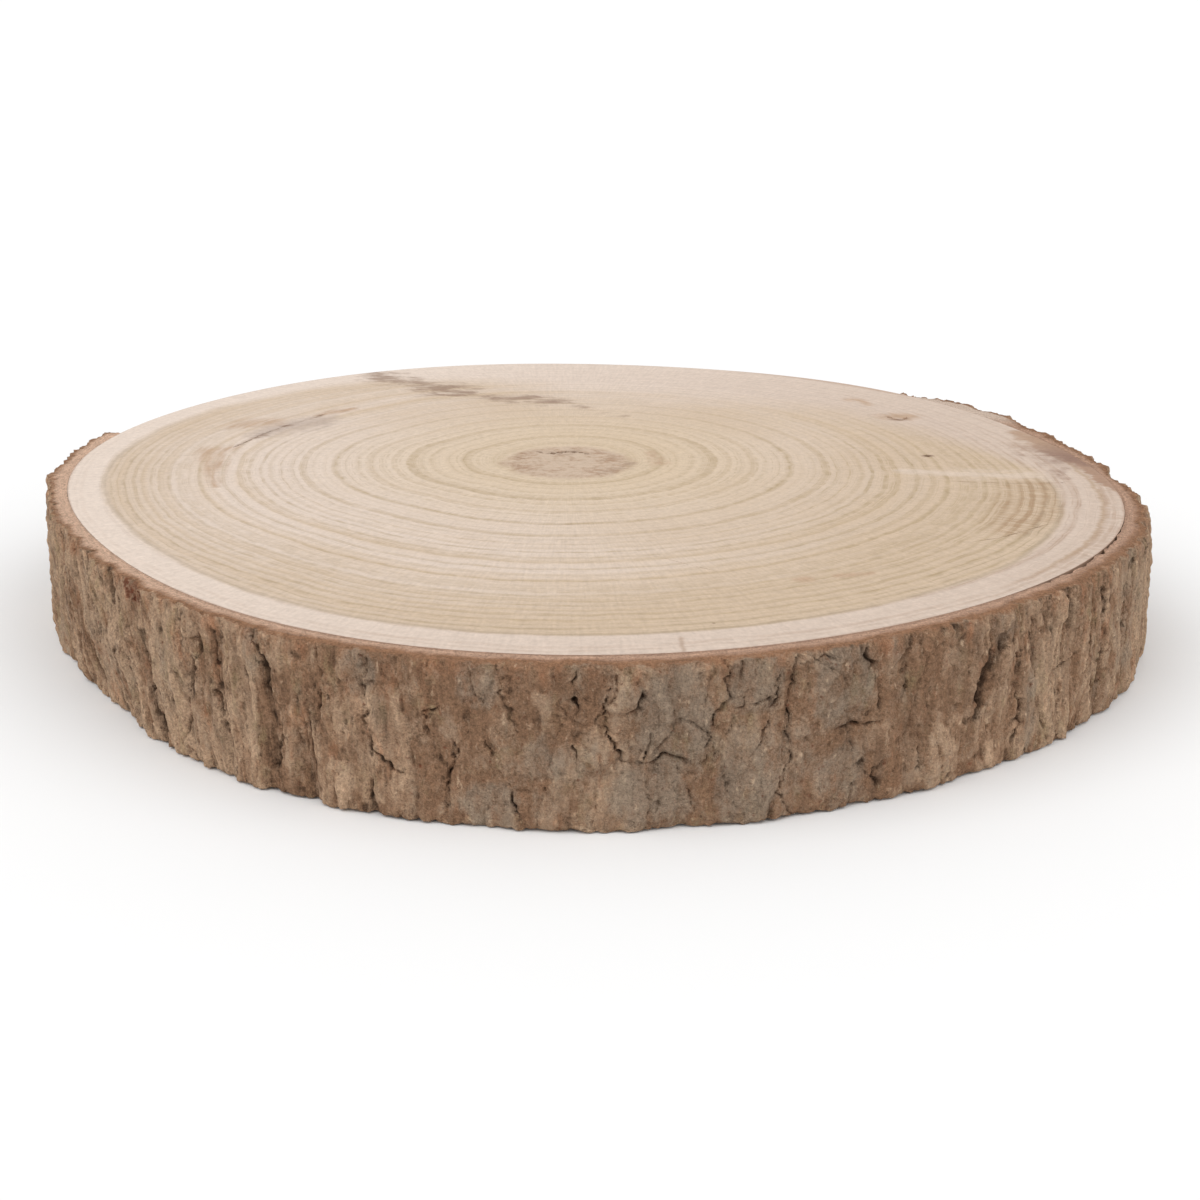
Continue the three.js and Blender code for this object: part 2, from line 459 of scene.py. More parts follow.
# Rings grow wider on the left, and in a trunk rounded out to RING_EDGE they lie this far from the pith. Each
# dark line has a distance, a half width and a strength, and fades more slowly inwards than outwards.
RING_EDGE = 152.0
RINGS = [(20, 2.4, 0.35), (28, 2.0, 0.9), (32.5, 1.4, 0.3), (36.8, 1.2, 0.35), (43, 2.0, 0.95),
         (47.8, 0.9, 0.35), (51.5, 0.9, 0.4), (54.8, 1.5, 0.65), (59, 0.8, 0.3), (62, 0.7, 0.35),
         (65.5, 1.3, 0.95), (68.7, 0.7, 0.3), (72, 0.9, 0.35), (75.3, 1.4, 0.9), (78.6, 0.9, 0.5),
         (82, 0.7, 0.35), (85.5, 1.0, 0.55), (88.6, 0.9, 0.5), (92.5, 1.0, 0.5), (95.7, 1.1, 0.7),
         (100.8, 1.0, 0.75), (105, 0.9, 0.7), (108.8, 1.0, 0.75), (112, 0.8, 0.4), (115.2, 0.9, 0.7),
         (118.7, 0.9, 0.6), (121.8, 0.9, 0.8), (124.8, 0.9, 0.6), (127.6, 0.8, 0.6), (130.6, 0.9, 0.7),
         (133.6, 0.8, 0.7), (136, 0.7, 0.4), (138.5, 0.8, 0.7), (141.6, 0.7, 0.8), (145.2, 0.6, 0.35),
         (148.2, 0.7, 0.6), (150.4, 0.6, 0.4)]
INWARD_FADE, OUTWARD_FADE = 0.9, 0.4
WIDE_RINGS_SIDE, WIDENING = 188, 4.5
CURVE_STEPS = 300
share = (reach / edge).math("MINIMUM", 1.0)
growth = reach * RING_EDGE / ((edge - RING_EDGE) * share ** 1.3 + RING_EDGE)
wide_side = (bearing - math.radians(WIDE_RINGS_SIDE)).math("COSINE").rise(0.72, 1.0)
wide_side = wide_side * (share * math.pi).math("SINE")
growth = growth - wide_side * WIDENING + cloud(spot, 55, 2) * 1.5 * share + cloud(spot, 9, 3) * 0.6
steps = np.linspace(0, RING_EDGE, CURVE_STEPS)
lines = np.zeros(CURVE_STEPS)
for at, wide, strength in RINGS:
    fade = np.where(steps < at, INWARD_FADE * wide, OUTWARD_FADE * wide)
    lines = lines + strength * np.exp(-((steps - at) / fade) ** 2)
along_ring = vector(bearing * 14, growth * 0.22, 0.0)
ring_line = (growth / RING_EDGE).follow([(s / RING_EDGE, min(v, 1.0)) for s, v in zip(steps, lines)])
# The lines show most at the right, and least at the back and the left.
clarity = y.rise(20, 85, 1.0, 0.5) * (x.rise(30, 100) * y.rise(40, 5) * 0.4 + 1.0)
clarity = clarity * x.rise(-135, -60, 0.78, 1.0)
ring_line = ring_line * cloud(along_ring, 1.0, 3).rise(-0.9, 0.7, 0.4, 1.05) * clarity
fine_line = bands(growth, 2.0, 2).math("ABSOLUTE").rise(0.2, 0.0) * clarity
fine_line = fine_line * cloud(along_ring, 0.7, 3).rise(-0.5, 0.5)
slow_band = bands(growth + cloud(spot, 20, 2) * 1.5, 7.0, 2)

# The sapwood's width by direction round the pith in degrees, and how softly it ends.
SAPWOOD = [(-180, 9.5, 2.5), (-150, 10, 2.2), (-120, 12, 1.8), (-90, 13, 1.5), (-60, 13, 1.5), (-42, 14, 2),
           (-30, 15.5, 2), (-18, 16.5, 2), (-8, 17, 4), (8, 26, 12), (40, 40, 22), (65, 46, 26), (92, 40, 24),
           (112, 24, 16), (125, 13, 9), (150, 9, 4), (180, 9.5, 2.5)]
WIDEST = 60  # millimetres at the top of the two curves
part_round = bearing / (2 * math.pi) + 0.5
sap_width = part_round.follow([(at / 360 + 0.5, width / WIDEST) for at, width, soft in SAPWOOD]) * WIDEST
sap_soft = part_round.follow([(at / 360 + 0.5, soft / WIDEST) for at, width, soft in SAPWOOD]) * WIDEST
inward = edge - reach
ragged = cloud(spot, 22, 3) * 0.35 * sap_soft + cloud(spot, 4, 2) * 0.3
sapwood = ((inward + ragged - sap_width) / sap_soft).rise(-0.7, 0.7, 1.0, 0.0)

CREAM = paint(229, 211, 196)
TAN = paint(212, 189, 164)
RING_OLIVE = paint(186, 163, 131)
SAP_PALE = paint(233, 216, 202)
SAP_ROSE = paint(215, 195, 179)
SAP_LINE = paint(192, 167, 148)
HEART_EDGE = paint(172, 154, 133)
PITH_ROSE = paint(206, 183, 162)
PITH_BROWN = paint(156, 118, 89)
STAIN_BROWN = paint(152, 125, 106)
VIOLET_GREY = paint(151, 120, 104)
VIOLET_BROWN = paint(182, 151, 127)
BRUISE_GREY = paint(190, 171, 158)
BLUSH_TAN = paint(194, 163, 136)
DENSE_BROWN = paint(178, 148, 118)
BAST_BROWN = paint(184, 152, 131)
TORN_BROWN = paint(172, 138, 115)
CHECK_BROWN = paint(116, 74, 46)
HEART_YELLOW = paint(221, 199, 170)

# The wood is creamier on the left, and more tan towards the right, the rim and the pith.
warmth = x.rise(-115, 95) * 0.75 + growth.rise(100, 138) * 0.5 + growth.rise(52, 18) * 0.2
warmth = warmth + y.rise(35, 80) * share.rise(0.9, 0.55) * 0.1
warmth = warmth + cloud(spot, 45, 3) * 0.22 + slow_band * x.rise(-60, 30, 0.32, 0.16)
warmth = warmth + growth.rise(60, 110) * x.rise(20, -50) * 0.14
warmth = warmth + growth.rise(70, 110) * x.rise(30, 100) * 0.22
warmth = warmth + y.rise(30, 75) * x.rise(10, -45) * share.rise(0.95, 0.6) * 0.3
colour = mixed(warmth.rise(0.0, 1.1), CREAM, TAN)
colour = mixed((growth + slow_band * 6).rise(82, 24) * 0.7, colour, HEART_YELLOW)
colour = mixed(ring_line * 0.75 + fine_line * 0.4, colour, RING_OLIVE)
dense = (attribute(tree, "dense") + cloud(spot, 7, 3) * 0.25).rise(0.1, 0.9)
hatch = cloud(vector(bearing * 120, reach * 0.12, 0.0), 1.0, 3)
colour = mixed(dense * (ring_line * 0.8 + fine_line * 0.3 + hatch * 0.7 + 0.25), colour, DENSE_BROWN)
pale = spread(tree, "pale", cloud(vector(x * 0.4, y, z), 4, 3) * 0.6, 0.0, 1.1, 0.3)
colour = mixed(pale * 0.55, colour, CREAM)

# At the right the sapwood has a ragged line near its edge and a pink one inside that. A check shows at the
# front.
RIGHT_SIDE, RIGHT_SPREAD = -19, 34
RAGGED_LINE_IN, PINK_LINE_IN = 5.4, 12.5
SAP_CHECK = (22.2, -138.5)
sap = mixed((x - y * 0.35).rise(-125, 120), SAP_PALE, SAP_ROSE)
sap = mixed((ring_line * 0.7 + fine_line * 0.5) * x.rise(-110, 0, 0.35, 1.0), sap, SAP_LINE)
sap = mixed(y.rise(-80, -130) * 0.2, sap, SAP_PALE)
right_side = bearing.hump(math.radians(RIGHT_SIDE), math.radians(RIGHT_SPREAD)).rise(0.0, 0.5)
ragged_line = (inward + hatch * 0.9 + cloud(spot, 6, 2) * 0.8).hump(RAGGED_LINE_IN, 1.5)
sap = mixed(right_side * ragged_line * 0.6, sap, DENSE_BROWN)
sap = mixed(right_side * inward.rise(5.5, 4.5) * hatch.rise(-0.4, 0.7) * 0.6, sap, SAP_LINE)
pink_line = (inward + cloud(spot, 9, 2) * 0.9).hump(PINK_LINE_IN, 2.0) * cloud(spot, 7, 2).rise(-0.6, 0.5)
sap = mixed(right_side * pink_line * 0.5, sap, SAP_LINE)
sap_check = (x + cloud(spot, 3, 2) * 0.5).hump(SAP_CHECK[0], 1.0)
sap_check = sap_check * y.rise(SAP_CHECK[1] + 1, SAP_CHECK[1] - 1)
sap = mixed(sap_check * 0.8, sap, SAP_LINE)
colour = mixed(sapwood, colour, sap)
heart_edge = (inward + ragged - sap_width).hump(0.6, 1.3)
heart_edge = heart_edge + (inward - sap_width).hump(5.0, 5.0) * fine_line * 0.7
crisp = sap_soft.rise(5.0, 2.0) * cloud(along_ring, 1.2, 3).rise(-0.8, 0.5, 0.3, 1.0)
colour = mixed(heart_edge * crisp * 0.5, colour, HEART_EDGE)

# Round the pith lies a mottled brown spot, and past it bruises, blushes, stains and torn fibres at the rim.
PITH_SPOT = (-5.7, 13.4)
PITH_SPOT_RADIUS, PITH_SPOT_FADE = 20.5, 4.5
TORN_SIDE, TORN_SPREAD, TORN_REACH = -1, 16, 3.8
pith_x, pith_y = x - PITH_SPOT[0], y - PITH_SPOT[1]
pith_away = (pith_x ** 2.0 + pith_y ** 2.0).math("SQRT")
pith = (pith_away + cloud(spot, 9, 3) * 2.6).rise(PITH_SPOT_RADIUS, PITH_SPOT_RADIUS - PITH_SPOT_FADE)
mottle = cloud(vector(x * 0.7, y, z), 2.6, 4, 0.75) * 1.5 + pith_x.math("ABSOLUTE").rise(2, 15) * 0.35
colour = mixed(pith * 0.85, colour, mixed(mottle.rise(-0.2, 1.2) * 0.9, PITH_ROSE, PITH_BROWN))

streaks = cloud(vector(x * 0.35, y * 0.8, z), 2.0, 4, 0.6)
colour = mixed(spread(tree, "bruise", streaks * 0.4, 0.05, 1.1, 0.2) * 0.8, colour, BRUISE_GREY)
arcs = cloud(vector(bearing * 8, growth * 0.45, 0.0), 1.0, 3)
colour = mixed(spread(tree, "blush", arcs * 0.6, 0.0, 1.2, 0.3) * 0.9, colour, BLUSH_TAN)
blots = cloud(vector(x * 0.4, y * 0.9, z), 3.0, 4, 0.65)
colour = mixed(spread(tree, "stain", blots, 0.15, 1.3, 0.2) * 0.8, colour, STAIN_BROWN)
feather = cloud(vector(bearing * 90, reach * 0.10, 0.0), 1.0, 3)
torn_in = bearing.hump(math.radians(TORN_SIDE), math.radians(TORN_SPREAD)).rise(0.0, 0.5) * TORN_REACH
torn = (inward + feather * 1.8 + cloud(spot, 2, 3) * 1.2 - torn_in).rise(0.9, -1.0) * torn_in.rise(0.0, 1.5)
colour = mixed(torn * 0.9, colour, TORN_BROWN)
violet = spread(tree, "violet", feather * 0.1 + cloud(spot, 7, 4, 0.6) * 0.6, 0.0, 0.9, 0.2)
colour = mixed(violet * 0.93, colour, mixed(y.rise(40, 18), VIOLET_BROWN, VIOLET_GREY))

rays = cloud(vector(bearing * 150, reach * 0.10, 0.0), 1.0, 3)
saw_marks = cloud(vector(x * 0.03 + y * 0.75, y * 0.02 - x * 0.05, z), 0.8, 2)
pores = cloud(spot, 1.1, 3, 0.65)
colour = lit(colour, rays * 0.08 + saw_marks * 0.03 + pores * 0.125 + slow_band * 0.02 + 0.985)
# A thin brown line of bast runs round the rim. It is wider at the back right, and beside that, towards the
# right, it hardly shows.
bast_wider = x.rise(40, 80) * y.rise(92, 104) * 1.8
bast_thinner = x.rise(90, 110) * y.rise(45, 62) * y.rise(104, 92) * 1.6
bast_width = bast_wider - bast_thinner + 0.5
colour = mixed((inward + pores * 0.25 - bast_width).rise(0.0, -0.5) * 0.5, colour, BAST_BROWN)

face_z = coordinates(tree, "Normal")[2]
side = face_z.math("ABSOLUTE").rise(0.6, 0.2) * inward.rise(1.5, 0.5)
colour = mixed(side, colour, BAST_BROWN)
# Inside the checks the wood turns dark brown with depth: the brown of the split wood, deepened with painted
# shade.
below_face = (z - THICKNESS) * -1.0
in_check = below_face.rise(0.1, 0.8) * below_face.rise(7, 6) * inward.rise(1.0, 2.0)
colour = mixed(in_check * 0.9, colour, CHECK_BROWN)
feed(shader.inputs["Base Color"], colour)
shader.inputs["Roughness"].default_value = 0.75
shader.inputs["Specular IOR Level"].default_value = 0.2
roughen(shader, ring_line * -0.4 + pores * 0.3 + saw_marks * 0.3 + rays * 0.15, 0.12, 0.6)
wood.data.materials.clear()
wood.data.materials.append(sawn_wood)
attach(wood, "root")
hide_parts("wood")

# The bark is one ring of dry, brittle bark that grew round the wood and still clings to it. It has split into
# plates and fibrous ridges with furrows between them. The saw left its edges flat with the wood, apart from
# the back, where the top edge broke away.
SHRINKAGE_GAP = 0.07
LOOSE_AT, LOOSE_REACH, LOOSE_GAP = -33, 9.5, 1.6
CHIP_FROM, CHIP_FROM_FADE, CHIP_TO, CHIP_TO_FADE = 35, 24, 163, 8
CHIP_DEPTH, CHIP_UNEVENNESS = 3.6, 1.3
FRONT_FURROWS = [198, 203, 208, 213, 219, 224, 231, 236, 241.5, 246, 251.7, 258, 263.5, 269.5, 274, 280.5,
                 287.3, 291, 295, 299, 303.6, 308, 311.5, 318.5, 325.5, 331.5, 336]
BACK_FURROW_SPACING = 5.6
FURROW_DEPTH, FURROW_WIDTH = (1.1, 2.3), (1.5, 2.5)  # least and most
FURROW_LEAN, FURROW_SWAY = 1.6, 0.55
CREST_HEIGHT = 0.9
# Slanting swells: waves round the trunk, millimetres of height to one turn of the wave, and lift.
PLATE_SWELLS = [(23, 52, 0.42), (41, -34, 0.34), (67, 71, 0.28)]
# Places at the back right where the bark is thinner or thicker: direction and half width in degrees, then
# millimetres outwards.
BACK_LUMPS = [(-2, 7.5, -3.4), (12, 6, -1.6), (18, 1.6, 1.6), (22.4, 2.4, -1.8), (28, 3.2, 2.2),
              (34, 2.6, 1.6)]
LEAN_SIDE, LEAN_SPREAD, LEAN_SLOPE = 209, 18, 0.45  # where the grain leans
TUCK_SIDE, TUCK_SPREAD, TUCK_HEIGHT, TUCK_DEPTH = 213, 13, 24, 2.4  # where the foot is tucked in
PLATED_SIDE, PLATED_SPREAD = 281, 22  # where broad plates take the place of fibrous ridges
SHADED_SIDE, SHADED_SPREAD = 279, 40  # where painted shade darkens the bark
GIRTH = 2 * math.pi * MEAN_RADIUS


def scatter(column, row, seed=0):
    """A repeatable number from 0 to 1 for each whole-number place."""
    wave = np.sin(column * 127.1 + row * 311.7 + seed * 74.7) * 43758.5453
    return wave - np.floor(wave)


def turn_between(start, end):
    return (end - start + math.pi) % (2 * math.pi) - math.pi


def toward(angle, direction, spread):
    """1 in that direction and falling away beyond the spread to either side, both in degrees."""
    return np.exp(-(turn_between(math.radians(direction), angle) / math.radians(spread)) ** 2)


def ease(share):
    share = np.clip(share, 0, 1)
    return share * share * (3 - 2 * share)


def ripple(turn, z, across, tall, seed):
    """Random waves from -1 to 1 that close round the trunk, about that many millimetres across and tall."""
    columns = round(GIRTH / across)
    u, v = turn * columns, z / tall + 50
    left, low = np.floor(u), np.floor(v)
    total = 0
    for right in (0, 1):
        for up in (0, 1):
            lean = 2 * math.pi * scatter((left + right) % columns, low + up, seed)
            du, dv = u - left - right, v - low - up
            near = ease(1 - np.abs(du)) * ease(1 - np.abs(dv))
            total = total + near * (np.cos(lean) * du + np.sin(lean) * dv)
    return 1.5 * total


def scales(turn, z, across, tall, seed):
    """Random scales of about that size: the distance in millimetres to the nearest joint, and a number from 0
    to 1 that is each scale's own."""
    columns = round(GIRTH / across)
    u, v = turn * columns, z / tall + 50
    left, low = np.floor(u), np.floor(v)
    nearest, second, own = np.full(u.shape, 9.0), np.full(u.shape, 9.0), np.zeros(u.shape)
    for right in (-1, 0, 1):
        for up in (-1, 0, 1):
            column, row = (left + right) % columns, low + up
            du = left + right + 0.1 + 0.8 * scatter(column, row, seed) - u
            dv = low + up + 0.1 + 0.8 * scatter(column, row, seed + 1) - v
            away = np.hypot(du, dv)
            second = np.minimum(second, np.maximum(nearest, away))
            own = np.where(away < nearest, scatter(column, row, seed + 2), own)
            nearest = np.minimum(nearest, away)
    return (second - nearest) * across, own


back_arc = 360 + FRONT_FURROWS[0] - FRONT_FURROWS[-1]
back_count = round(back_arc / BACK_FURROW_SPACING) - 1
back_furrows = [FRONT_FURROWS[-1] + (i + 0.5 * (scatter(i, 7) - 0.5)) * back_arc / (back_count + 1)
                for i in range(1, back_count + 1)]


def furrow_depth(angle, z):
    """The broad furrows between the plates."""
    cut = np.zeros(angle.shape)
    for i, direction in enumerate(FRONT_FURROWS + back_furrows):
        depth = np.interp(scatter(i, 1), (0, 1), FURROW_DEPTH)
        width = np.interp(scatter(i, 2), (0, 1), FURROW_WIDTH)
        lean = math.radians(FURROW_LEAN) * (2 * scatter(i, 3) - 1)
        sway = math.radians(FURROW_SWAY) * (0.4 + 0.6 * scatter(i, 4))
        wave = np.sin(2 * math.pi * (z / (THICKNESS * (0.6 + 0.7 * scatter(i, 5))) + scatter(i, 6)))
        line = math.radians(direction) + lean * (z / THICKNESS - 0.5) + sway * wave
        away = turn_between(line, angle) * MEAN_RADIUS / width
        cut = np.maximum(cut, depth * np.exp(-away * away))
    return cut


# The cracks that show on the front: half width and depth in millimetres, then points as direction in degrees
# and height in millimetres.
CRACKS = [
    (0.7, 1.6, [(202.1, 37), (201.7, 29), (204.6, 19), (205, 14)]),
    (0.8, 1.5, [(212.1, 30), (213.6, 24), (213.1, 17), (213.8, 12), (217.5, 6), (218.2, 1)]),
    (0.6, 1.2, [(218.8, 36), (219.8, 26)]),
    (0.9, 1.6, [(223.4, 33), (224.6, 23), (224.6, 17), (223.8, 12), (225.9, 4)]),
    (0.6, 1.2, [(232.5, 39), (232.9, 31), (231.5, 20), (230.8, 11), (229.2, 3)]),
    (0.6, 1.3, [(235, 36), (235.4, 22), (236.7, 8)]),
    (0.6, 1.5, [(240.1, 39), (241.5, 31), (241.2, 24)]),
    (0.6, 1.2, [(242.9, 18), (242.6, 12), (241.7, 6)]),
    (0.6, 1.2, [(246.8, 39), (247.6, 30), (246.9, 20)]),
    (0.7, 1.3, [(251.5, 39), (251.7, 31), (251.7, 20)]),
    (0.55, 2.0, [(251.7, 20), (252.9, 15), (254.6, 11.5)]),
    (0.6, 1.2, [(252.6, 14), (252.1, 6), (252.4, 1)]),
    (0.45, 1.6, [(258.2, 29), (257, 27), (256.9, 21.5)]),
    (0.5, 1.7, [(259.2, 21.5), (259.4, 16), (258.8, 12), (258.6, 4)]),
    (0.4, 1.6, [(262, 23), (262.6, 18.6)]),
    (0.7, 1.1, [(263, 40), (263.5, 33), (264.6, 22)]),
    (0.5, 1.5, [(263.8, 10), (264.2, 6), (264.6, 1)]),
    (0.4, 1.9, [(269.4, 38), (269.3, 34), (269.6, 28.8)]),
    (0.45, 1.7, [(272.2, 36), (271.5, 28), (271.0, 25.6)]),
    (0.5, 0.9, [(271.0, 25.6), (269.7, 22.5), (269.4, 17), (270.3, 13)]),
    (0.55, 2.1, [(271.7, 25.4), (272.6, 21), (273.1, 17)]),
    (0.5, 1.5, [(273.1, 17), (275.2, 16), (276.6, 18), (278, 17), (278.8, 13.4)]),
    (0.4, 1.3, [(275.3, 23.5), (275.1, 19), (274.6, 15.4)]),
    (0.9, 2.0, [(274.9, 33.4), (274.4, 30.6), (273.6, 28.6)]),
    (0.45, 1.5, [(281.6, 39), (281.9, 32), (280.6, 26.5), (280, 19), (279.6, 15.4)]),
    (0.4, 1.3, [(278.6, 10.6), (279.4, 6), (280.2, 1)]),
    (0.4, 1.2, [(282.2, 29), (284.4, 29.4), (285.8, 30)]),
    (0.45, 1.5, [(287.9, 40), (287.3, 31), (287, 21), (287.3, 15), (286.2, 7), (287.7, 0)]),
    (0.4, 1.2, [(285.6, 27), (284.8, 18), (283.6, 15.6)]),
    (0.4, 1.2, [(285.9, 36), (286.2, 30), (285.3, 25)]),
    (0.4, 1.2, [(289, 37.4), (290.4, 38.4), (291.6, 36.8)]),
    (0.6, 2.0, [(291.7, 19.4), (293.2, 20.4), (294.4, 19.9), (295.9, 20.9)]),
    (0.8, 2.0, [(294.4, 39), (294.3, 36), (295.3, 33)]),
    (0.5, 1.4, [(295.3, 33), (295.8, 26), (295.5, 21)]),
    (0.8, 1.7, [(299.2, 40), (298.5, 36), (297.6, 34)]),
    (0.6, 1.6, [(298.2, 33), (298.4, 28), (298, 24)]),
    (0.7, 1.7, [(296.4, 11), (295.2, 9.6), (295.4, 6), (295.9, 3.6)]),
    (0.6, 1.2, [(299.6, 17), (300, 4)]),
    (1.0, 1.8, [(303.5, 40), (303.6, 37.4)]),
    (2.6, 2.8, [(309.6, 34), (308.9, 30.6), (307.6, 26), (306.6, 20.6), (306.8, 16), (307, 13.6)]),
    (0.6, 1.8, [(311.1, 29), (311.5, 27)]),
    (0.8, 1.7, [(311.2, 21), (311.9, 15), (312.1, 9), (311.6, 4.6)]),
    (0.6, 1.6, [(313.8, 35), (313.7, 31)]),
    (0.8, 1.9, [(317.6, 40), (319.4, 36), (319.6, 30)]),
    (0.4, 1.3, [(316.6, 20), (318.2, 19.4), (320, 20.2), (321.2, 21.6)]),
    (0.6, 1.4, [(315, 13), (315.8, 6), (316.6, 1)]),
    (1.0, 2.2, [(325.2, 35), (325.6, 32), (325.9, 28.6)]),
    (0.5, 1.3, [(322.6, 30), (322.8, 22), (321.8, 16)]),
    (0.9, 1.8, [(327.4, 20.4), (327.9, 18.6)]),
    (0.5, 1.2, [(323.6, 16.8), (325.4, 17), (327, 17.6)]),
    (0.9, 2.0, [(324.4, 11.4), (324.6, 5.6)]),
    (0.8, 1.6, [(331.4, 20.6), (331.8, 15)]),
    (0.8, 1.6, [(333.2, 40), (333.7, 36)]),
]
CRACK_SEARCH = 9  # degrees to either side of its first point within which each crack lies
# Flakes that stand proud: direction, height, half width in degrees, half height and lift in millimetres.
FLAKES = [(273.0, 32.4, 1.5, 3.6, 1.5), (317.4, 36.6, 1.1, 3.6, 1.0), (297.0, 37, 1.0, 3.0, 0.9),
          (271.2, 19.4, 1.4, 4.2, 0.9), (205.2, 32, 0.8, 3, 0.8), (298.9, 26.4, 0.5, 1.6, 0.8),
          (278.4, 16.0, 0.6, 1.6, 0.8), (244, 33, 2.2, 6, 0.5), (302, 8, 1.8, 5, 0.5)]
# Plates whose skin is weathered grey, in the same form with how grey they are.
GREY_PLATES = [(251, 35, 1.6, 6, 0.8), (261.4, 35, 1.8, 7, 0.8), (277.6, 27, 3.0, 12, 1.0),
               (284.4, 34, 2.3, 7, 0.9), (292, 30, 2.6, 11, 1.0), (275.6, 8, 3.2, 8, 0.8),
               (283.4, 8, 2.5, 9, 0.9), (262.4, 5, 2.6, 6, 0.7), (292.4, 8, 2.2, 8, 0.7),
               (267, 17, 1.8, 5, 0.5), (240, 35, 1.0, 7, 0.7), (227, 20, 1.4, 14, 0.5),
               (202, 25, 1.6, 14, 0.5), (313.4, 12, 0.9, 12, 0.8), (309.4, 36, 1.8, 4, 0.6),
               (333, 22, 5, 18, 0.6), (196, 20, 3, 18, 0.5)]
# Drops of dried resin, in the same form.
RESIN = [(222.0, 38.6, 2.3, 3.4, 1.0), (223.8, 33.0, 0.8, 4.5, 0.6)]


def patches(angle, z, spots):
    """How far each place lies inside the nearest of these oval spots, times the spot's last number."""
    cover = np.zeros(angle.shape)
    for direction, height, half_width, half_height, strength in spots:
        across = turn_between(math.radians(direction), angle) / math.radians(half_width)
        away = np.hypot(across, (z - height) / half_height)
        cover = np.maximum(cover, strength * ease((1.25 - away) / 0.5))
    return cover


def crack_depth(angle, z):
    """The thin cracks of the front, which taper to both ends."""
    cut = np.zeros(angle.shape)
    for half_width, depth, points in CRACKS:
        near = np.abs(turn_between(math.radians(points[0][0]), angle)) < math.radians(CRACK_SEARCH)
        here, up = angle[near], z[near]
        deepest = np.zeros(here.shape)
        for i, ((a0, z0), (a1, z1)) in enumerate(zip(points, points[1:])):
            across = turn_between(math.radians(a0), here) * MEAN_RADIUS
            span_across, span_up = math.radians(a1 - a0) * MEAN_RADIUS, z1 - z0
            way = (across * span_across + (up - z0) * span_up) / (span_across ** 2 + span_up ** 2)
            way = np.clip(way, 0, 1)
            away = np.hypot(across - way * span_across, up - z0 - way * span_up) / (0.65 * half_width)
            taper = 1 - 0.6 * np.abs(2 * (i + way) / (len(points) - 1) - 1) ** 3
            deepest = np.maximum(deepest, depth * taper * np.exp(-away ** 2))
        cut[near] = np.maximum(cut[near], deepest)
    return cut


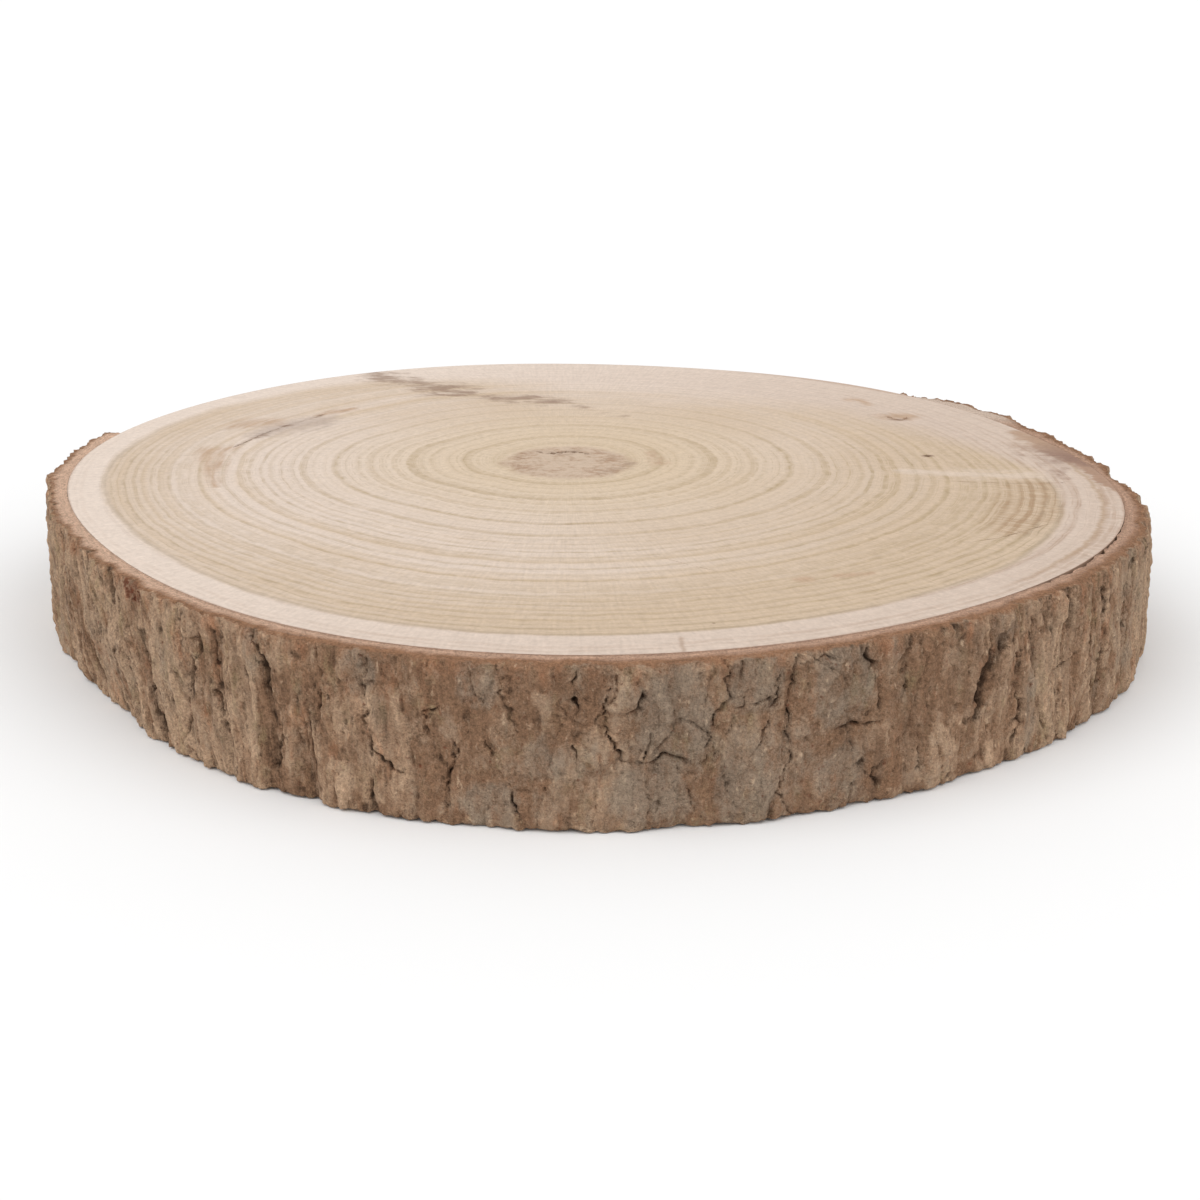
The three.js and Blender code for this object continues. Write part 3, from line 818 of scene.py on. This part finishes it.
def bark_form(angle, z):
    """Relief over the trunk's outline in millimetres, and the shares that its colour follows."""
    turn = (angle / (2 * math.pi)) % 1
    sway = 1.6 * ripple(turn, z, 12, 16, 2) + 0.8 * ripple(turn, z, 3.4, 5, 3)
    sway = sway + 0.4 * ripple(turn, z, 1.5, 2, 6)
    drift = 2.4 * ripple(turn, z, 15, 13, 4) + 1.0 * ripple(turn, z, 3.6, 4.5, 5)
    left = toward(angle, LEAN_SIDE, LEAN_SPREAD)
    leaning = LEAN_SLOPE * left * (z - THICKNESS / 2)
    swayed, drifted = (turn + (sway + leaning) / GIRTH) % 1, z + drift
    middle = toward(angle, PLATED_SIDE, PLATED_SPREAD)
    plated = ease(0.15 + 1.1 * middle + 0.8 * ripple(turn, z, 90, 60, 7))
    stringy = 1 - 0.72 * plated

    joint, plate = scales(swayed, drifted, 14, 33, 11)
    small_joint, small_plate = scales((swayed + 0.5 * sway / GIRTH) % 1, drifted, 5.5, 11, 21)
    chip = scales(swayed, drifted, 2.6, 4.2, 61)[1]
    strand = np.abs(ripple(swayed, drifted, 4.0, 30, 31))
    thread = np.abs(ripple((turn + (0.6 * sway + leaning) / GIRTH) % 1, drifted, 1.7, 13, 32))
    wrinkle = ripple(swayed, drifted, 3.6, 2.6, 34)
    grit = ripple(turn, z, 1.5, 1.7, 33)
    jag = 1.0 * ripple(turn, z, 2.6, 2.0, 37) + 0.5 * ripple(turn, z, 1.3, 1.1, 38)
    pit = ease(2.2 * ripple(turn, z, 3.2, 4.2, 35) + 0.8 * grit - 0.9)

    furrow = furrow_depth(angle + leaning / MEAN_RADIUS, z) * (0.62 - 0.5 * plated + 0.4 * left)
    crack = crack_depth(angle + (0.4 * sway + jag) / MEAN_RADIUS, z + 0.4 * drift)
    crack = crack * np.clip(0.85 + 0.9 * ripple(turn, z, 2.4, 2.8, 36) + 0.4 * grit, 0.2, 1.1)
    big_crack = np.exp(-(joint / 0.5) ** 2) * plated
    small_crack = np.exp(-(small_joint / 0.35) ** 2) * plated
    crease = np.exp(-(strand / 0.10) ** 2) * stringy
    flakes = patches(angle, z + 0.3 * drift, FLAKES)
    swells = np.zeros(angle.shape)
    for waves, length, height in PLATE_SWELLS:
        swells = swells + height * np.sin(waves * angle + 2 * math.pi * z / length)
    for direction, half_width, height in BACK_LUMPS:
        swells = swells + height * toward(angle, direction, half_width)
    tuck = toward(angle, TUCK_SIDE, TUCK_SPREAD) * ease((TUCK_HEIGHT - z) / TUCK_HEIGHT)
    swells = swells - TUCK_DEPTH * tuck
    relief = (CREST_HEIGHT + swells - furrow
              + (0.6 * (plate - 0.5) + 0.4 * (small_plate - 0.5)) * (0.4 + 0.6 * plated)
              + stringy * (0.95 * (strand - 0.3) + 0.8 * (thread - 0.3))
              + 0.26 * plated * wrinkle + 0.38 * grit + 0.3 * (chip - 0.5) - 0.65 * pit
              - 0.5 * big_crack - 0.25 * small_crack - crack + flakes)
    # Painted shade: the colour darkens in the furrows, cracks, creases, threads and pits, and lightens a
    # little on raised flakes and chips.
    crevice_shade = ((0.2 + 0.1 * left) * furrow + 0.25 * big_crack + 0.15 * small_crack + 0.5 * crack
               + 0.36 * crease + 0.5 * pit + 0.22 * stringy * np.exp(-(thread / 0.08) ** 2)
               - 0.15 * flakes - 0.1 * (chip - 0.5))
    grey = patches(angle, z + 0.6 * drift, GREY_PLATES) + 0.5 * ease(1.6 * ripple(turn, z, 24, 30, 41) - 0.2)
    grey = grey + 0.4 * middle
    # Painted shade darkens the bark round the front, and is folded into each place's tone.
    painted_shade = np.exp(-(turn_between(math.radians(SHADED_SIDE), angle) / math.radians(SHADED_SPREAD)) ** 4)
    tone_and_shade = 0.4 * plate + 0.3 * small_plate + 0.35 * chip + 0.35 * (strand + thread) * stringy - 0.33 * painted_shade
    resin = patches(angle, z + 0.4 * drift, RESIN)
    return relief, {"crevice_shade": np.clip(crevice_shade, 0, 1.2), "grey": np.clip(grey, 0, 1), "tone_and_shade": tone_and_shade,
                    "resin": resin, "plated": plated}


def chip_depth(angle):
    """How far below the saw cut the bark's top edge lies."""
    past = turn_between(math.radians(CHIP_FROM), angle) / math.radians(CHIP_FROM_FADE)
    before = turn_between(angle, math.radians(CHIP_TO)) / math.radians(CHIP_TO_FADE)
    uneven = np.sin(13 * angle) + 0.6 * np.sin(29 * angle + 1) + 0.4 * np.sin(53 * angle)
    return ease(np.minimum(past, before)) * (CHIP_DEPTH + CHIP_UNEVENNESS * 0.5 * uneven)


# The bark's section runs outwards along its foot, up the wall, inwards over the sawn top and down the inner
# face. Each row gives the share of the bark's thickness and of its height.
BARK_COLUMNS, WALL_ROWS = 2100, 88
BARK_TRIANGLES = 194000
BARK_CREASE = 50  # degrees past which an edge stays sharp
under_rows = [(share, 0.0) for share in (0.0, 0.35, 0.7)]
wall_rows = [(1.0, row / WALL_ROWS) for row in range(WALL_ROWS + 1)]
top_rows = [(share, 1.0) for share in (0.88, 0.74, 0.58, 0.42, 0.26, 0.12, 0.0)]
inner_rows = [(0.0, level) for level in (0.75, 0.5, 0.25, 0.0)]
profile = np.array(under_rows + wall_rows + top_rows + inner_rows)

bpy.ops.object.select_all(action="DESELECT")
bpy.ops.mesh.primitive_grid_add(x_subdivisions=BARK_COLUMNS, y_subdivisions=len(profile) - 1, size=1)
bark = bpy.context.object
bark.name = "bark_ring"
grid = places_of(bark) * MM
column = np.rint((grid[:, 0] + 0.5) * BARK_COLUMNS)
row = np.rint((grid[:, 1] + 0.5) * (len(profile) - 1)).astype(int)
angle = 2 * math.pi * (column % BARK_COLUMNS) / BARK_COLUMNS
outward, level = profile[row].T

turn = angle / (2 * math.pi)
# The gap to the wood, which is wide and crumbled where the bark has come loose.
gap = SHRINKAGE_GAP * (1 + 0.8 * ripple(turn, 0 * turn, 9, 9, 53))
crumbled = 0.55 + 0.6 * ripple(turn, 0 * turn, 8, 9, 55) + 0.8 * ripple(turn, 0 * turn, 3.4, 9, 56)
gap = gap + LOOSE_GAP * toward(angle, LOOSE_AT, LOOSE_REACH) * np.maximum(crumbled, 0.1)
inner_radius = wood_radius(angle) + gap
# Both sawn edges have lost crumbs, and the top edge most of all where it is broken.
chip = chip_depth(angle)
broken = ease(chip / 1.5)
crumbs = ripple(turn, outward * 5, 2.8, 1.5, 51) + 0.5 * ripple(turn, outward * 5, 1.2, 0.8, 52)
lost = 0.5 + 0.5 * np.clip(crumbs, -1, 1)
rounded = ease(0.35 + 0.9 * ripple(turn, 0 * turn, 7, 9, 54) + 0.3 * crumbs)
top_edge = THICKNESS - chip - (0.1 + 0.9 * broken) * lost - outward ** 6 * (0.5 * lost + 0.5 * rounded)
foot_edge = 0.8 * outward ** 6 * lost
z = foot_edge + level * (top_edge - foot_edge)
relief = bark_form(angle, z)[0]
worn = lost * (0.8 * np.exp(-(top_edge - z) / 0.7) + 0.8 * np.exp(-(z - foot_edge) / 0.7))
worn = worn + 0.5 * rounded * np.exp(-(top_edge - z) / 1.0)
outer_radius = trunk_radius(angle) + relief - worn
radius = inner_radius + outward * (outer_radius - inner_radius)
set_places(bark, np.stack([radius * np.cos(angle), radius * np.sin(angle), z], -1))

bpy.ops.object.mode_set(mode="EDIT")
bpy.ops.mesh.select_all(action="SELECT")
bpy.ops.mesh.remove_doubles(threshold=0.01 * MM)
bpy.ops.mesh.normals_make_consistent(inside=False)
bpy.ops.object.mode_set(mode="OBJECT")
thin = bark.modifiers.new("thin_flat_faces", "DECIMATE")
thin.ratio = BARK_TRIANGLES / (2 * len(bark.data.polygons))
bpy.ops.object.modifier_apply(modifier=thin.name)

places = places_of(bark)
angle = np.arctan2(places[:, 1], places[:, 0])
relief, shares = bark_form(angle, places[:, 2])
inner_radius = wood_radius(angle)
outer_radius = trunk_radius(angle) + relief
layer = (np.hypot(places[:, 0], places[:, 1]) - inner_radius) / (outer_radius - inner_radius)
for name, values in shares.items():
    store(bark, name, values)
store(bark, "layer", np.clip(layer, 0, 1))
bpy.ops.object.shade_smooth_by_angle(angle=math.radians(BARK_CREASE))

BARK_TAN = paint(192, 161, 133)
BARK_BROWN = paint(146, 113, 88)
BARK_RUST = paint(168, 119, 88)
BARK_OLIVE = paint(148, 130, 97)
BARK_GREY = paint(148, 132, 115)
BARK_HIGHLIGHT = paint(220, 190, 160)
BARK_SHADE = paint(116, 95, 78)
# The colour of the painted shade in crevices and pits.
CREVICE_SHADE = paint(66, 48, 36)
RESIN_RED = paint(104, 52, 34)
INNER_BARK_LEFT = paint(234, 196, 169)
INNER_BARK_RIGHT = paint(206, 167, 142)
OUTER_BARK = paint(163, 122, 93)
CAMBIUM = paint(178, 143, 121)
PALE_BAST = paint(231, 207, 188)

# Fibres, lanes and grit colour the outside, which also carries painted shade in its hollows and cracks,
# painted highlights, and painted light at its foot. The sawn top and the inner face have colours of their
# own.
rough_bark, shader = new_material("rough_bark")
tree = rough_bark.node_tree
x, y, z = coordinates(tree, "Object", MM)
spot = vector(x, y, z)
lean = cloud(vector(x, y, z * 0.5), 14, 2) * 2.5
lean_way = math.radians(LEAN_SIDE)
leaning = (x * math.cos(lean_way) + y * math.sin(lean_way)).rise(112, 152)
leaning = leaning * (z - THICKNESS / 2) * LEAN_SLOPE
grain_x = x + lean - leaning * math.sin(lean_way)
grain_y = y + lean + leaning * math.cos(lean_way)
fibrous = attribute(tree, "plated").rise(0.2, 1.0, 0.75, 0.35) + x.rise(-90, -140) * 0.35
fibres = cloud(vector(grain_x, grain_y, z * 0.1), 1.4, 3, 0.65) * fibrous
threads = cloud(vector(grain_x, grain_y, z * 0.08), 0.8, 2) * fibrous
lanes = cloud(vector(grain_x, grain_y, z * 0.12), 5.0, 2)
mottle = cloud(vector(x, y, z * 0.6), 4.4, 4, 0.65)
broad = cloud(vector(x, y, z * 0.4), 15, 3)
grit = cloud(spot, 1.3, 3, 0.9)
dust = cloud(spot, 0.7, 2, 0.9)
tone_and_shade = attribute(tree, "tone_and_shade")
colour = mixed((tone_and_shade + broad * 0.25 + mottle * 0.4).rise(0.1, 0.9), BARK_BROWN, BARK_TAN)
rust = cloud(vector(x, y, z * 0.5), 6, 4, 0.65) + fibres * 0.35 + z.rise(30, 39) * 0.25
colour = mixed(rust.rise(0.1, 0.9) * 0.75, colour, BARK_RUST)
olive = cloud(vector(y, x, z * 0.5), 6, 4, 0.65) + grit * 0.3
colour = mixed(olive.rise(0.1, 0.8) * 0.65, colour, BARK_OLIVE)
grey = attribute(tree, "grey") * 0.8 + mottle * 0.8 + broad * 0.3 + grit * 0.3
colour = mixed(grey.rise(0.05, 1.2) * 0.8, colour, BARK_GREY)
colour = mixed((lanes + grit * 0.3).rise(0.05, 0.8) * 0.5, colour, BARK_SHADE)
resin = attribute(tree, "resin") * 0.6 + cloud(spot, 1.8, 3) * 0.8
colour = mixed(resin.rise(0.3, 0.8) * 0.85, colour, RESIN_RED)
# Painted highlights: light streaks along the fibres, stronger towards the right.
painted_highlight = cloud(vector(y, x, z * 0.45), 1.5, 2) + grit * 0.3
colour = mixed(painted_highlight.rise(0.35, 1.0) * x.rise(60, 140, 0.5, 0.75), colour, BARK_HIGHLIGHT)
# The fibres, threads and grit that bump the surface also lighten its raised parts and darken its low ones:
# the bark's own fibre colour together with painted shade and painted light.
grain_and_relief_shade = fibres * 0.36 + threads * 0.24 + mottle * 0.14 + grit * 0.42 + dust * 0.5
# Painted light: the bark is lighter towards its foot, as light bounced from the floor would make it.
colour = lit(colour, grain_and_relief_shade + z.rise(24, 2) * 0.11 + 1.115)
# Painted shade: dark specks stand for shaded pits, and the crevices darken further where the fibres, threads
# and grit dip.
pit_shade = cloud(vector(grain_x, grain_y, z * 0.4), 1.7, 2) - grit * 0.3
crevice_shade = attribute(tree, "crevice_shade") + pit_shade.rise(0.25, 1.0) * 0.5
crevice_shade = crevice_shade - fibres * 0.28 - threads * 0.2 - grit * 0.34
colour = mixed(crevice_shade.rise(0.15, 1.1) * 0.85, colour, CREVICE_SHADE)

face_z = coordinates(tree, "Normal")[2]
layer = attribute(tree, "layer")
around = y.math("ARCTAN2", x)
ring_fibres = cloud(vector(around * 16, layer * 9, 0.0), 1.0, 4, 0.65)
notches = cloud(vector(around * 52, layer * 2, 0.0), 1.0, 3, 0.7)
# The sawn top is pale inside and brown outside, with a thin darker line of cambium next to the wood.
inner_bark = mixed(x.rise(-165, 30), INNER_BARK_LEFT, INNER_BARK_RIGHT)
outward = layer + ring_fibres * 0.16 + mottle * 0.14 + x.rise(-60, -145) * -0.18
cut_colour = mixed(outward.rise(0.27, 0.67), inner_bark, OUTER_BARK)
cut_colour = mixed((layer + grit * 0.05).rise(0.2, 0.08) * x.rise(-150, -60) * 0.6, cut_colour, CAMBIUM)
# At the back right the inner bark is as pale as the wood, and only its outer edge is brown.
back_right = y.rise(55, 72) * x.rise(40, 80)
cut_colour = mixed(back_right * (layer + mottle * 0.1).rise(0.74, 0.6), cut_colour, PALE_BAST)
cut_grain = (ring_fibres * 0.28 + grit * 0.4 + dust * 0.4) * (back_right * -0.65 + 1.0)
cut_colour = lit(cut_colour, cut_grain + notches * layer.rise(0.3, 0.8) * 0.36 + 1.0)
uneven = layer + ring_fibres * 0.15 + mottle * 0.2 + notches * 0.25 + grit * 0.12
sawn = face_z.rise(0.55, 0.85) * uneven.rise(1.05, 0.75)
colour = mixed(sawn, colour, cut_colour)
inside = layer.rise(0.06, 0.02) * face_z.math("ABSOLUTE").rise(0.6, 0.3)
colour = mixed(inside, colour, OUTER_BARK)
feed(shader.inputs["Base Color"], colour)
shader.inputs["Roughness"].default_value = 0.95
shader.inputs["Specular IOR Level"].default_value = 0.15
roughen(shader, fibres * 0.4 + threads * 0.2 + grit * 0.5, 1.0, 1.0)
bark.data.materials.clear()
bark.data.materials.append(rough_bark)
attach(bark, "root")
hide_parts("bark")

# The floor is a plain pale sweep under soft studio light from both sides of the camera.
# It isn't part of the object.
FLOOR_SIZE = 12.0
FLOOR_DROP = 0.2  # millimetres, so that it doesn't lie in the underside's plane
FLOOR_GREY = (0.84, 0.84, 0.84, 1)
bpy.ops.object.select_all(action="DESELECT")
bpy.ops.mesh.primitive_plane_add(size=FLOOR_SIZE, location=(0, 0, -FLOOR_DROP * MM))
floor = bpy.context.object
floor.name = "studio_floor"
bpy.ops.object.transform_apply(location=True)
pale_floor, shader = new_material("pale_floor")
shader.inputs["Base Color"].default_value = FLOOR_GREY
shader.inputs["Roughness"].default_value = 0.9
floor.data.materials.append(pale_floor)

# The wall behind the floor is as bright as the floor, and the light from above it is a little dimmer.
WALL_LIGHT, CEILING_LIGHT = 1.0, 0.7
world = bpy.data.worlds.new("studio")
bpy.context.scene.world = world
world.use_nodes = True
background = world.node_tree.nodes["Background"]
background.inputs["Color"].default_value = (1, 1, 1, 1)
upward = coordinates(world.node_tree, "Generated")[2]
feed(background.inputs["Strength"], upward.rise(0.06, 0.16, WALL_LIGHT, CEILING_LIGHT))

# Each lamp: strength, height above level and direction round the camera's line of sight, in degrees.
SOFTBOXES = {"softbox_left": (1.25, 52, -60), "softbox_right": (0.9, 45, 65)}
SOFTBOX_WIDTH = 55
for name, (strength, height, direction) in SOFTBOXES.items():
    bpy.ops.object.light_add(type="SUN", rotation=(math.radians(90 - height), 0, math.radians(direction)))
    lamp = bpy.context.object
    lamp.name = name
    lamp.data.energy = strength
    lamp.data.angle = math.radians(SOFTBOX_WIDTH)
bpy.context.scene.view_settings.view_transform = "Standard"
